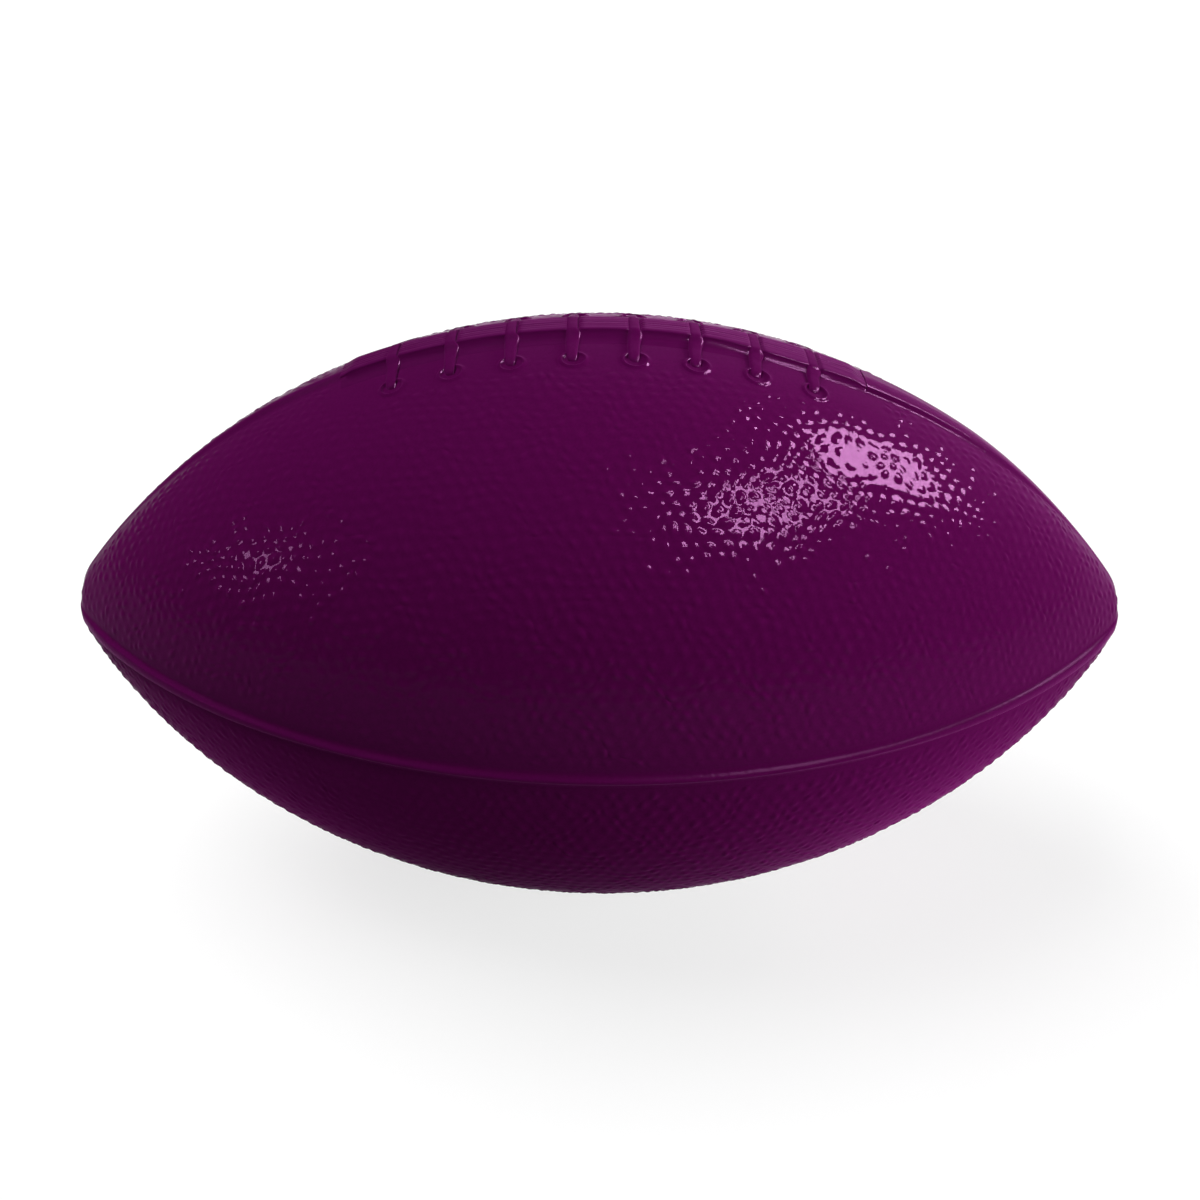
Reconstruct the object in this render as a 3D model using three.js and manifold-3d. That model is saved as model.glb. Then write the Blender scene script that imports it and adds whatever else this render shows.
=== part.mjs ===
// Mini american football with a moulded pebble-grain cover, raised seam strips, lacing and a plug valve.
// Millimetres. The origin is the middle of the ball, +X runs along it and +Z points up through the lacing.
import * as THREE from 'three';
import { mergeVertices } from 'three/addons/utils/BufferGeometryUtils.js';
import Module from 'manifold-3d';

const wasm = await Module();
wasm.setup();

// Outer form of the cover: one long flank arc, rounded off by a small nose arc at each tip.
const BALL_LENGTH = 152;
const BALL_DIAMETER = 84;
const NOSE_RADIUS = 9.9;

// Layers, from the cover inwards.
const PANEL_WALL = 1.5;
const CARCASS_WALL = 0.6;
const BLADDER_WALL = 0.7;
const LAYER_GAP = 0.3;

// Raised strips in the joints between the panels.
const STRIP_WIDTH = 1.8;
const STRIP_PROUD = 0.7;
const JOINT_GAP = 0.3;

// Lacing: two strands along the top joint, held down by cross laces whose ends go into holes in the panels.
const LACE_COUNT = 8;
const LACE_PITCH = 8;
const LACE_CENTRE_X = 0;
const LACE_WIDTH = 2;
const LACE_THICKNESS = 0.6;
const LACE_GAP = 0.2;
const LACE_REACH = 5.6;
const LACE_HOLE_CLEARANCE = 0.45;
const LACE_FOOT = 1.2;
const STRAND_WIDTH = 2.5;
const STRAND_HEIGHT = 1.1;
const STRAND_SPACING = 0.3;
const STRAND_ROUND = 0.4;
const STRAND_OVERHANG = 7.6;

// Plug valve in the lower rear panel, an eighth of a turn up from the bottom joint.
const VALVE_TURN = THREE.MathUtils.degToRad(225);
const VALVE_CLEARANCE = 0.3;
const PLUG_SHANK_DIAMETER = 2.6;
const PLUG_SHANK_LENGTH = 7;
const PLUG_TIP_LENGTH = 1.2;
const PLUG_TIP_DIAMETER = 1.6;
const PLUG_HEAD_DIAMETER = 5.2;
const PLUG_HEAD_THICKNESS = 0.8;
const PLUG_HEAD_CHAMFER = 0.25;
const STEM_RIM = 0.9;
const STEM_SINK = 0.1;
const STEM_TAIL = 5;
const FLANGE_DIAMETER = 13;
const FLANGE_THICKNESS = 1;

// Facets: the outer skin is finer than the layers under it.
const SKIN_FACETS = { around: 48, flank: 22, nose: 4 };
const LAYER_FACETS = { around: 24, flank: 12, nose: 2 };
const STRIP_STEP = THREE.MathUtils.degToRad(5);
const ROUND_FACETS = 3;
const HOLE_FACETS = 12;
const VALVE_FACETS = 24;

// Worked out from the driving dimensions.
const RIGHT_ANGLE = Math.PI / 2;
const midRadius = BALL_DIAMETER / 2;
const noseCentre = BALL_LENGTH / 2 - NOSE_RADIUS;
const flankRadius = (noseCentre ** 2 + midRadius ** 2 - NOSE_RADIUS ** 2) / (2 * (midRadius - NOSE_RADIUS));
const flankDrop = flankRadius - midRadius;
const joinLean = Math.atan2(noseCentre, flankDrop);

const carcassOffset = -(PANEL_WALL + LAYER_GAP);
const bladderOffset = carcassOffset - CARCASS_WALL - LAYER_GAP;
const airOffset = bladderOffset - BLADDER_WALL;
const jointHalfWidth = STRIP_WIDTH / 2 + JOINT_GAP;

const strandTop = LACE_GAP + STRAND_HEIGHT;
const strandOuterEdge = STRAND_SPACING / 2 + STRAND_WIDTH;
const laceHoleDistance = strandOuterEdge + LACE_REACH;
const laceHoleDiameter = Math.hypot(LACE_WIDTH, LACE_THICKNESS) + 2 * LACE_HOLE_CLEARANCE;
const laceHalfLength = ((LACE_COUNT - 1) * LACE_PITCH) / 2 + STRAND_OVERHANG;

// A point of the skin, or of a layer parallel to it, by the lean of its outward normal: zero at the belly, a
// right angle at the tips. x is the distance along the ball and y the distance from its long axis.
function skin(lean, offset) {
  const onNose = Math.abs(lean) > joinLean;
  const radius = (onNose ? NOSE_RADIUS : flankRadius) + offset;
  const centreX = onNose ? Math.sign(lean) * noseCentre : 0;
  const centreY = onNose ? 0 : -flankDrop;
  return new THREE.Vector2(centreX + radius * Math.sin(lean), centreY + radius * Math.cos(lean));
}

function leanAt(arcLength) {
  return arcLength / flankRadius;
}

// A line along the ball from one lean to another, in the upright plane through the lacing.
class Meridian extends THREE.Curve {
  constructor(fromLean, toLean) {
    super();
    this.fromLean = fromLean;
    this.toLean = toLean;
  }

  leanOf(t) {
    return THREE.MathUtils.lerp(this.fromLean, this.toLean, t);
  }

  getPoint(t, target = new THREE.Vector3()) {
    const point = skin(this.leanOf(t), 0);
    return target.set(point.x, 0, point.y);
  }

  getTangent(t, target = new THREE.Vector3()) {
    const way = Math.sign(this.toLean - this.fromLean);
    const lean = this.leanOf(t);
    return target.set(way * Math.cos(lean), 0, -way * Math.sin(lean));
  }

  // Even steps of lean, so that the tight nose arc gets as many steps as it needs.
  getUtoTmapping(u) {
    return u;
  }
}

// Solids and back: a closed geometry with shared vertices becomes a solid that can be cut.
function toSolid(geometry) {
  const bare = geometry.clone();
  bare.deleteAttribute('normal');
  bare.deleteAttribute('uv');
  const merged = mergeVertices(bare);
  const index = merged.index.array;
  const triangles = [];
  for (let i = 0; i < index.length; i += 3) {
    const [a, b, c] = index.subarray(i, i + 3);
    if (a !== b && b !== c && c !== a) {
      triangles.push(a, b, c);
    }
  }
  const vertProperties = new Float32Array(merged.attributes.position.array);
  const triVerts = new Uint32Array(triangles);
  return new wasm.Manifold(new wasm.Mesh({ numProp: 3, vertProperties, triVerts }));
}

function toGeometry(solid) {
  const { vertProperties, triVerts } = solid.getMesh();
  const geometry = new THREE.BufferGeometry();
  geometry.setAttribute('position', new THREE.BufferAttribute(vertProperties, 3));
  geometry.setIndex(new THREE.BufferAttribute(triVerts, 1));
  geometry.computeVertexNormals();
  return geometry;
}

function makeMesh(name, geometry, finish) {
  const mesh = new THREE.Mesh(geometry, new THREE.MeshStandardMaterial(finish));
  mesh.name = name;
  return mesh;
}

const COVER_FINISH = { color: 0x500643, roughness: 0.25, metalness: 0 };
const LINING_FINISH = { color: 0xd8d2c4, roughness: 0.9, metalness: 0 };
const BLADDER_FINISH = { color: 0x1c1c1e, roughness: 0.7, metalness: 0 };
const VALVE_FINISH = { color: 0x2a0a24, roughness: 0.5, metalness: 0 };

// The whole ball as one solid, at a distance outside or inside the skin.
function spindle(offset, facets) {
  const points = [];
  for (let i = 0; i < facets.nose; i += 1) {
    points.push(skin(THREE.MathUtils.lerp(-RIGHT_ANGLE, -joinLean, i / facets.nose), offset));
  }
  for (let i = 0; i <= facets.flank; i += 1) {
    points.push(skin(THREE.MathUtils.lerp(-joinLean, joinLean, i / facets.flank), offset));
  }
  for (let i = 1; i <= facets.nose; i += 1) {
    points.push(skin(THREE.MathUtils.lerp(joinLean, RIGHT_ANGLE, i / facets.nose), offset));
  }
  const profile = points.map((point) => new THREE.Vector2(Math.max(point.y, 0), point.x));
  profile[0].x = 0;
  profile[profile.length - 1].x = 0;
  const geometry = new THREE.LatheGeometry(profile, facets.around);
  geometry.rotateZ(-RIGHT_ANGLE);
  return toSolid(geometry);
}

// A turned piece whose axis stands along +Z. The profile gives radius and height.
function turned(profile, facets) {
  const points = profile.map(([radius, height]) => new THREE.Vector2(radius, height));
  const geometry = new THREE.LatheGeometry(points, facets);
  geometry.rotateX(RIGHT_ANGLE);
  return geometry;
}

// Where cross lace number i crosses the top joint: its lean, and the frame that stands on the skin there.
function laceLean(i) {
  return leanAt(LACE_CENTRE_X + (i - (LACE_COUNT - 1) / 2) * LACE_PITCH);
}

function standOnTop(object, lean) {
  const foot = skin(lean, 0);
  object.position.set(foot.x, 0, foot.y);
  object.rotation.y = lean;
  object.updateMatrix();
  return object;
}

// Radius of the skin across the ball, in the plane of a cross lace.
function crossRadius(lean) {
  return skin(lean, 0).y / Math.cos(lean);
}

function laceHoleTurn(lean) {
  return Math.asin(laceHoleDistance / crossRadius(lean));
}

function laceHoleCutter(i, side) {
  const lean = laceLean(i);
  const radius = crossRadius(lean);
  const reach = 4 * PANEL_WALL;
  const cutter = new THREE.CylinderGeometry(laceHoleDiameter / 2, laceHoleDiameter / 2, reach, HOLE_FACETS);
  cutter.rotateX(RIGHT_ANGLE);
  cutter.translate(0, 0, radius);
  cutter.rotateX(-side * laceHoleTurn(lean));
  cutter.translate(0, 0, -radius);
  cutter.applyMatrix4(standOnTop(new THREE.Object3D(), lean).matrix);
  return toSolid(cutter);
}

// Valve sizes that follow from the plug and from the layers it passes through.
const boreRadius = PLUG_SHANK_DIAMETER / 2 + VALVE_CLEARANCE;
const seatRadius = PLUG_HEAD_DIAMETER / 2 + VALVE_CLEARANCE;
const stemRadius = seatRadius + STEM_RIM;
const stemHoleRadius = stemRadius + VALVE_CLEARANCE;
const stemFace = midRadius - STEM_SINK;
const seatFloor = stemFace - PLUG_HEAD_THICKNESS - VALVE_CLEARANCE;
const airFlat = (midRadius + airOffset) * Math.cos(Math.PI / LAYER_FACETS.around);
const flangeTop = Math.sqrt(airFlat ** 2 - (FLANGE_DIAMETER / 2) ** 2) - LAYER_GAP;
const flangeUnder = flangeTop - FLANGE_THICKNESS;
const stemEnd = flangeUnder - STEM_TAIL;

function stemHoleCutter() {
  const bottom = flangeUnder;
  const top = midRadius + PANEL_WALL;
  const cutter = new THREE.CylinderGeometry(stemHoleRadius, stemHoleRadius, top - bottom, VALVE_FACETS);
  cutter.rotateX(RIGHT_ANGLE);
  cutter.translate(0, 0, (top + bottom) / 2);
  cutter.rotateX(VALVE_TURN);
  return toSolid(cutter);
}

// Cover: four quarters of the shell, each cut back from the joints by half a strip and a gap.
function coverPanels() {
  const shell = spindle(0, SKIN_FACETS).subtract(spindle(-PANEL_WALL, LAYER_FACETS));
  const quarters = [
    { name: 'upper_front_panel', ySide: -1, zSide: 1 },
    { name: 'upper_rear_panel', ySide: 1, zSide: 1 },
    { name: 'lower_front_panel', ySide: -1, zSide: -1 },
    { name: 'lower_rear_panel', ySide: 1, zSide: -1 },
  ];
  return quarters.map(({ name, ySide, zSide }) => {
    const block = new THREE.BoxGeometry(2 * BALL_LENGTH, BALL_DIAMETER, BALL_DIAMETER);
    const shift = jointHalfWidth + BALL_DIAMETER / 2;
    block.translate(0, ySide * shift, zSide * shift);
    let panel = shell.intersect(toSolid(block));
    if (zSide > 0) {
      for (let i = 0; i < LACE_COUNT; i += 1) {
        panel = panel.subtract(laceHoleCutter(i, ySide));
      }
    }
    if (name === 'lower_rear_panel') {
      panel = panel.subtract(stemHoleCutter());
    }
    return makeMesh(name, toGeometry(panel), COVER_FINISH);
  });
}

// Carcass and bladder: thin closed layers that only the valve stem passes through.
function innerLayer(name, outerOffset, innerOffset, finish) {
  const layer = spindle(outerOffset, LAYER_FACETS).subtract(spindle(innerOffset, LAYER_FACETS));
  return makeMesh(name, toGeometry(layer.subtract(stemHoleCutter())), finish);
}

// A strip of constant section along the ball. In the section, y is the height above the skin.
// The path runs from the right end to the left, which turns the section's y outwards.
function alongBall(section, leftLean, rightLean) {
  const steps = Math.ceil((rightLean - leftLean) / STRIP_STEP);
  const extrudePath = new Meridian(rightLean, leftLean);
  return new THREE.ExtrudeGeometry(section, { steps, extrudePath, curveSegments: ROUND_FACETS });
}

// Section of a seam strip: a flat foot in the joint and a round bead that stands proud of the panels.
function beadSection() {
  const half = STRIP_WIDTH / 2;
  const section = new THREE.Shape();
  section.moveTo(-half, -PANEL_WALL);
  section.lineTo(half, -PANEL_WALL);
  section.lineTo(half, 0);
  section.absellipse(0, 0, half, STRIP_PROUD, 0, Math.PI, false, 0);
  section.closePath();
  return section;
}

function seamStrip(name, leftLean, rightLean, turn) {
  const mesh = makeMesh(name, alongBall(beadSection(), leftLean, rightLean), COVER_FINISH);
  mesh.rotation.x = turn;
  return mesh;
}

// The upright strips meet at the tips, and the front and rear strips stop against their sides.
function seamStrips() {
  const innerNose = NOSE_RADIUS - PANEL_WALL;
  const tipLean = RIGHT_ANGLE - Math.asin(JOINT_GAP / 2 / innerNose);
  const sideLean = RIGHT_ANGLE - Math.asin(jointHalfWidth / innerNose);
  const laceLeft = leanAt(LACE_CENTRE_X - laceHalfLength - JOINT_GAP);
  const laceRight = leanAt(LACE_CENTRE_X + laceHalfLength + JOINT_GAP);
  return [
    seamStrip('front_seam_strip', -sideLean, sideLean, RIGHT_ANGLE),
    seamStrip('rear_seam_strip', -sideLean, sideLean, -RIGHT_ANGLE),
    seamStrip('bottom_seam_strip', -tipLean, tipLean, 2 * RIGHT_ANGLE),
    seamStrip('top_seam_strip_left', -tipLean, laceLeft, 0),
    seamStrip('top_seam_strip_right', laceRight, tipLean, 0),
  ];
}

// A strip of constant section as long as the lacing.
function alongLacing(section) {
  return alongBall(section, leanAt(LACE_CENTRE_X - laceHalfLength), leanAt(LACE_CENTRE_X + laceHalfLength));
}

// Backing strip: fills the lacing slot, flush with the panels.
function laceBackingStrip() {
  const half = STRIP_WIDTH / 2;
  const section = new THREE.Shape();
  section.moveTo(-half, -PANEL_WALL);
  section.lineTo(half, -PANEL_WALL);
  section.lineTo(half, 0);
  section.lineTo(-half, 0);
  section.closePath();
  return makeMesh('lace_backing_strip', alongLacing(section), COVER_FINISH);
}

// Lace strand: a flat cord with rounded upper edges, lying beside the middle of the joint.
function laceStrand(name, side) {
  const middle = -side * (STRAND_SPACING + STRAND_WIDTH) / 2;
  const left = middle - STRAND_WIDTH / 2;
  const right = middle + STRAND_WIDTH / 2;
  const shoulder = strandTop - STRAND_ROUND;
  const section = new THREE.Shape();
  section.moveTo(left, LACE_GAP);
  section.lineTo(right, LACE_GAP);
  section.lineTo(right, shoulder);
  section.absarc(right - STRAND_ROUND, shoulder, STRAND_ROUND, 0, RIGHT_ANGLE, false);
  section.lineTo(left + STRAND_ROUND, strandTop);
  section.absarc(left + STRAND_ROUND, shoulder, STRAND_ROUND, RIGHT_ANGLE, Math.PI, false);
  section.closePath();
  return makeMesh(name, alongLacing(section), COVER_FINISH);
}

// Cross lace: flat over the strands, then down to the skin on both sides, with each end tucked into its hole.
function crossLace(i) {
  const lean = laceLean(i);
  const radius = crossRadius(lean);
  const holeTurn = laceHoleTurn(lean);
  const halfThickness = LACE_THICKNESS / 2 / radius;
  const polar = (turn, height) => [
    (radius + height) * Math.sin(turn),
    (radius + height) * Math.cos(turn) - radius,
  ];
  const under = strandTop + LACE_GAP;
  const over = under + LACE_THICKNESS;
  const shoulder = strandOuterEdge + LACE_GAP;
  const foot = Math.asin((shoulder + LACE_FOOT) / radius);
  const half = [
    [shoulder, over],
    polar(foot + 2 * halfThickness, LACE_GAP + LACE_THICKNESS),
    polar(holeTurn - halfThickness, LACE_GAP + LACE_THICKNESS),
    polar(holeTurn + halfThickness, LACE_GAP),
    polar(holeTurn + halfThickness, -PANEL_WALL),
    polar(holeTurn - halfThickness, -PANEL_WALL),
    polar(holeTurn - halfThickness, LACE_GAP),
    polar(foot, LACE_GAP),
    [shoulder, under],
  ];
  const mirrored = half.map(([y, z]) => [-y, z]).reverse();
  const outline = [...half, ...mirrored].map(([y, z]) => new THREE.Vector2(y, z));
  const strap = { depth: LACE_WIDTH, bevelEnabled: false };
  const geometry = new THREE.ExtrudeGeometry(new THREE.Shape(outline), strap);
  geometry.translate(0, 0, -LACE_WIDTH / 2);
  const alongY = new THREE.Vector3(0, 1, 0);
  const alongZ = new THREE.Vector3(0, 0, 1);
  const alongX = new THREE.Vector3(1, 0, 0);
  geometry.applyMatrix4(new THREE.Matrix4().makeBasis(alongY, alongZ, alongX));
  return standOnTop(makeMesh(`cross_lace_${i + 1}`, geometry, COVER_FINISH), lean);
}

// Valve housing: a rubber stem with a flange inside the bladder, a bore for the plug and a seat for its head.
function valveHousing() {
  const flangeRadius = FLANGE_DIAMETER / 2;
  const profile = [
    [boreRadius, stemEnd],
    [stemRadius, stemEnd],
    [stemRadius, flangeUnder],
    [flangeRadius, flangeUnder],
    [flangeRadius, flangeTop],
    [stemRadius, flangeTop],
    [stemRadius, stemFace],
    [seatRadius, stemFace],
    [seatRadius, seatFloor],
    [boreRadius, seatFloor],
    [boreRadius, stemEnd],
  ];
  return makeMesh('valve_housing', turned(profile, VALVE_FACETS), VALVE_FINISH);
}

// Valve plug: a round head sunk in the seat, on a shank with a tapered tip.
function valvePlug() {
  const headTop = stemFace - STEM_SINK;
  const headUnder = headTop - PLUG_HEAD_THICKNESS;
  const headRadius = PLUG_HEAD_DIAMETER / 2;
  const shankRadius = PLUG_SHANK_DIAMETER / 2;
  const shankEnd = headUnder - PLUG_SHANK_LENGTH;
  const profile = [
    [0, shankEnd],
    [PLUG_TIP_DIAMETER / 2, shankEnd],
    [shankRadius, shankEnd + PLUG_TIP_LENGTH],
    [shankRadius, headUnder],
    [headRadius, headUnder],
    [headRadius, headTop - PLUG_HEAD_CHAMFER],
    [headRadius - PLUG_HEAD_CHAMFER, headTop],
    [0, headTop],
  ];
  return makeMesh('valve_plug', turned(profile, VALVE_FACETS), COVER_FINISH);
}

const ball = new THREE.Group();
ball.add(...coverPanels());
ball.add(...seamStrips());
ball.add(laceBackingStrip());
ball.add(laceStrand('lace_strand_front', -1));
ball.add(laceStrand('lace_strand_rear', 1));
for (let i = 0; i < LACE_COUNT; i += 1) {
  ball.add(crossLace(i));
}
ball.add(innerLayer('carcass', carcassOffset, carcassOffset - CARCASS_WALL, LINING_FINISH));
ball.add(innerLayer('bladder', bladderOffset, airOffset, BLADDER_FINISH));

const valve = new THREE.Group();
valve.rotation.x = VALVE_TURN;
valve.add(valveHousing());
valve.add(valvePlug());
ball.add(valve);

export default ball;
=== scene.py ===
# %% [markdown]
# # A mini american football
# The ball is a one-colour toy football: four pebbled vinyl panels, a raised bead over every joint, and
# lacing on top. The solids of the real build (panels, strips, laces, carcass, bladder and valve) arrive
# as a fixed frame. Each step below makes the fine surface of one piece around its solid, in metres, in
# the same frame: +X runs from tip to tip, +Z goes up through the lacing and the viewer stands at -Y.

import math

import bmesh
import bpy
import numpy as np
from mathutils import Matrix, Vector


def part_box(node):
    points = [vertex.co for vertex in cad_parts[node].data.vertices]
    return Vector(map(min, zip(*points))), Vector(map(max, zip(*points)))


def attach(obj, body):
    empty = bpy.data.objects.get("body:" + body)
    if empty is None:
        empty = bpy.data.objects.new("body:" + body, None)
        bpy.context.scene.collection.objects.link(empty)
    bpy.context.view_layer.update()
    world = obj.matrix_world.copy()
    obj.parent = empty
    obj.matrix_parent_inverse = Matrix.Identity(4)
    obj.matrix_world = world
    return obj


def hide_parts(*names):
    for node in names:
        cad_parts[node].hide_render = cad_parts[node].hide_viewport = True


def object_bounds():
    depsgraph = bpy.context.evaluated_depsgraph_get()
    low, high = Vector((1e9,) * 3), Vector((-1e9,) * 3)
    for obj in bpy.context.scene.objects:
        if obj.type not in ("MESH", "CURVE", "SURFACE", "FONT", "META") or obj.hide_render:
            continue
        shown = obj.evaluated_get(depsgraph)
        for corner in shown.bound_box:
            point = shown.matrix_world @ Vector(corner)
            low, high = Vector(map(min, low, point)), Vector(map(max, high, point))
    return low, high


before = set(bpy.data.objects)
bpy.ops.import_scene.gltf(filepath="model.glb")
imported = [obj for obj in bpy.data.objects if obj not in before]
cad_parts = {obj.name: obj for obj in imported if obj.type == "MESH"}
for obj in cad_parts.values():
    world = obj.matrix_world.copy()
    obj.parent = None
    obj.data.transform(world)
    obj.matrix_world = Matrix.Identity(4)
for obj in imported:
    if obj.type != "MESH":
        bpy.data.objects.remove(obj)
cad_low, cad_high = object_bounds()
MM = 0.001
print("CAD box in mm:", [round((high - low) / MM, 1) for low, high in zip(cad_low, cad_high)])

# %% [markdown]
# ## The form of the ball
# The long outline is two circular arcs that run into a small round nose at each tip. Every piece lies on
# that skin, so the skin gets its own two functions. They work with the "lean" of the skin, the angle
# between its outward direction and straight up: the arcs' centres stay put, so a height above the skin
# is simply added to the arc's radius. Length and girth are measured on the carcass, which lies one
# panel wall and one small gap below the skin.

# %% Skin of the ball
COVER_DEPTH = 1.8 * MM
NOSE_RADIUS = 9.9 * MM

carcass_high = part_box("carcass")[1]
half_length = carcass_high.x + COVER_DEPTH
mid_radius = carcass_high.z + COVER_DEPTH
nose_centre = half_length - NOSE_RADIUS
flank_radius = (nose_centre**2 + mid_radius**2 - NOSE_RADIUS**2) / (2 * (mid_radius - NOSE_RADIUS))
flank_drop = flank_radius - mid_radius
join_lean = math.atan2(nose_centre, flank_drop)
flank_arc = flank_radius * join_lean
half_arc = flank_arc + NOSE_RADIUS * (math.pi / 2 - join_lean)


def lean_at(arc):
    """Lean of the skin at a distance along it from the middle of the ball."""
    on_flank = np.clip(arc, -flank_arc, flank_arc)
    return on_flank / flank_radius + (arc - on_flank) / NOSE_RADIUS


def skin(lean, height=0.0):
    """Place along the ball and distance from its long axis, at a height above the skin."""
    on_nose = np.abs(lean) > join_lean
    reach = np.where(on_nose, NOSE_RADIUS, flank_radius) + height
    along = np.where(on_nose, np.sign(lean) * nose_centre, 0) + reach * np.sin(lean)
    away = np.where(on_nose, 0, -flank_drop) + reach * np.cos(lean)
    return along, away


print(f"length {2 * half_length / MM:.1f} mm, girth {2 * mid_radius / MM:.1f} mm")
print(f"skin arc {2 * half_arc / MM:.1f} mm")

# %% [markdown]
# ## The camera
# The photograph looks down on the ball by about 31 degrees from close by, so the near panel looks larger
# than the far edge. The viewing distance and the focal length come from fitting the ball's outline to
# the photograph's outline. The photograph is turned by less than a degree and the ball lies a little
# below its middle: the turn is a roll of the camera, and the rest is a small lens shift.

# %% Camera
VIEW_DISTANCE = 202.9 * MM
VIEW_ELEVATION = math.radians(30.98)
VIEW_YAW = math.radians(-0.47)
VIEW_ROLL = math.radians(-0.79)
FRAME_PIXELS = 1200
FOCAL_PIXELS = 1370.5
CENTRE_PIXEL = (600.7, 603.0)
SENSOR_MM = 36.0

back = Vector((
    math.sin(VIEW_YAW) * math.cos(VIEW_ELEVATION),
    -math.cos(VIEW_YAW) * math.cos(VIEW_ELEVATION),
    math.sin(VIEW_ELEVATION),
))
level = Vector((math.cos(VIEW_YAW), math.sin(VIEW_YAW), 0))
upright = back.cross(level)
camera_right = math.cos(VIEW_ROLL) * level - math.sin(VIEW_ROLL) * upright
camera_up = math.sin(VIEW_ROLL) * level + math.cos(VIEW_ROLL) * upright

camera = bpy.data.objects.new("camera", bpy.data.cameras.new("camera"))
bpy.context.scene.collection.objects.link(camera)
turned = Matrix((camera_right, camera_up, back)).transposed()
camera.matrix_world = Matrix.Translation(back * VIEW_DISTANCE) @ turned.to_4x4()
camera.data.sensor_width = SENSOR_MM
camera.data.lens = SENSOR_MM * FOCAL_PIXELS / FRAME_PIXELS
camera.data.shift_x = (FRAME_PIXELS / 2 - CENTRE_PIXEL[0]) / FRAME_PIXELS
camera.data.shift_y = (CENTRE_PIXEL[1] - FRAME_PIXELS / 2) / FRAME_PIXELS
camera.data.clip_start = 0.01
bpy.context.scene.camera = camera
print(f"camera: {camera.data.lens:.1f} mm lens, {VIEW_DISTANCE / MM:.0f} mm from the middle of the ball")

# %% [markdown]
# ## Studio light
# Two kinds of lamp make the light of the photograph. Fill lamps are soft and stay out of reflections; gleam
# lamps show only in reflections. One lamp could do both, but this way tones and highlights are set apart.

# %% A studio lamp
LAMP_DISTANCE = 2.0
UP = Vector((0, 0, 1))


def studio_lamp(name, spot, way, across, wide, high, radiance, gleam):
    """Rectangular lamp in a direction from a point. Wide and high are angles as seen from there."""
    data = bpy.data.lights.new(name, "AREA")
    data.shape = "RECTANGLE"
    data.size = wide * LAMP_DISTANCE
    data.size_y = high * LAMP_DISTANCE
    data.energy = radiance * math.pi * data.size * data.size_y
    lamp = bpy.data.objects.new(name, data)
    bpy.context.scene.collection.objects.link(lamp)
    facing = way.normalized()
    upward = facing.cross(across).normalized()
    turned = Matrix((upward.cross(facing), upward, facing)).transposed()
    lamp.matrix_world = Matrix.Translation(spot + facing * LAMP_DISTANCE) @ turned.to_4x4()
    lamp.visible_camera = False
    lamp.visible_diffuse = not gleam
    lamp.visible_glossy = gleam
    print(f"{name}: {data.energy:.2f} W, {'gleam' if gleam else 'fill'}")


print("lamps stand", LAMP_DISTANCE, "m away")

# %% [markdown]
# ## Soft light
# A strong lamp on the right and one above on the left give the ball its tones, dark towards the lower
# left. One behind on the right gives the light edge along the top. They were fitted to the tones of the
# photograph at points where the direction of the skin is known.

# %% Fill lamps
# Direction from the ball, width and height, and strength where the skin faces the lamp.
FILL_LAMPS = {
    "right_fill": ((0.96, -0.19, 0.17), 0.8, 0.4, 4.2),
    "back_right_fill": ((0.62, 0.75, 0.22), 0.6, 0.4, 1.8),
    "upper_left_fill": ((-0.45, 0.17, 0.87), 0.9, 0.9, 4.0),
}

for name, (way, wide, high, strength) in FILL_LAMPS.items():
    way = Vector(way)
    studio_lamp(name, Vector(), way, UP.cross(way), wide, high, strength / (wide * high), gleam=False)

# %% [markdown]
# ## Highlights
# A glossy skin is a mirror, so a highlight's place tells where its lamp stands: the view line is reflected
# there. The right highlight is the main lamp. The middle one is drawn in fine curls, as a row of narrow
# tubes gives. The left one is a small lamp that only leaves sparks on the pebbles.

# %% Gleam lamps
KEY_SPOT = Vector((34.8, -16.8, 31.1)) * MM
KEY_WAY = Vector((0.689, 0.309, 0.655))
KEY_SIZE = (0.33, 0.38)
KEY_RADIANCE = 120
TUBE_SPOT = Vector((17.8, -27.5, 29.4)) * MM
TUBE_WAY = Vector((0.454, -0.317, 0.833))
TUBE_PLACES = (-0.16, 0.12, 0.40)
TUBE_SIZE = (0.09, 0.28)
TUBE_RADIANCE = 95
LEFT_SPOT = Vector((-42.2, -24.6, 20.5)) * MM
LEFT_WAY = Vector((-0.905, -0.182, 0.385))
LEFT_ACROSS = Vector((0, -1, 0))
LEFT_SIZE = (0.12, 0.11)
LEFT_RADIANCE = 34

studio_lamp("key_gleam", KEY_SPOT, KEY_WAY, UP.cross(KEY_WAY), *KEY_SIZE, KEY_RADIANCE, gleam=True)
towards_key = KEY_WAY - TUBE_WAY
for number, place in enumerate(TUBE_PLACES, start=1):
    way = TUBE_WAY.lerp(KEY_WAY, place)
    studio_lamp(f"tube_gleam_{number}", TUBE_SPOT, way, towards_key, *TUBE_SIZE, TUBE_RADIANCE, gleam=True)
studio_lamp("left_gleam", LEFT_SPOT, LEFT_WAY, LEFT_ACROSS, *LEFT_SIZE, LEFT_RADIANCE, gleam=True)

# %% [markdown]
# ## Cards and surround
# The ends of the lower panels are lighter than their middle, as small white cards on a table make them.
# Here a card is a lamp just above the floor that faces up. All around is a dark grey surround.

# %% Cards and surround
CARD_ALONG = 64 * MM
CARD_FORWARD = 26 * MM
CARD_LIFT = 1 * MM
CARD_SIZE = 0.022
# End of the ball and radiance.
CARDS = {"left_card": (-1, 1.8), "right_card": (1, 3.8)}
SURROUND_GREY = 0.04


def grey(tone):
    return (tone, tone, tone, 1)


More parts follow.
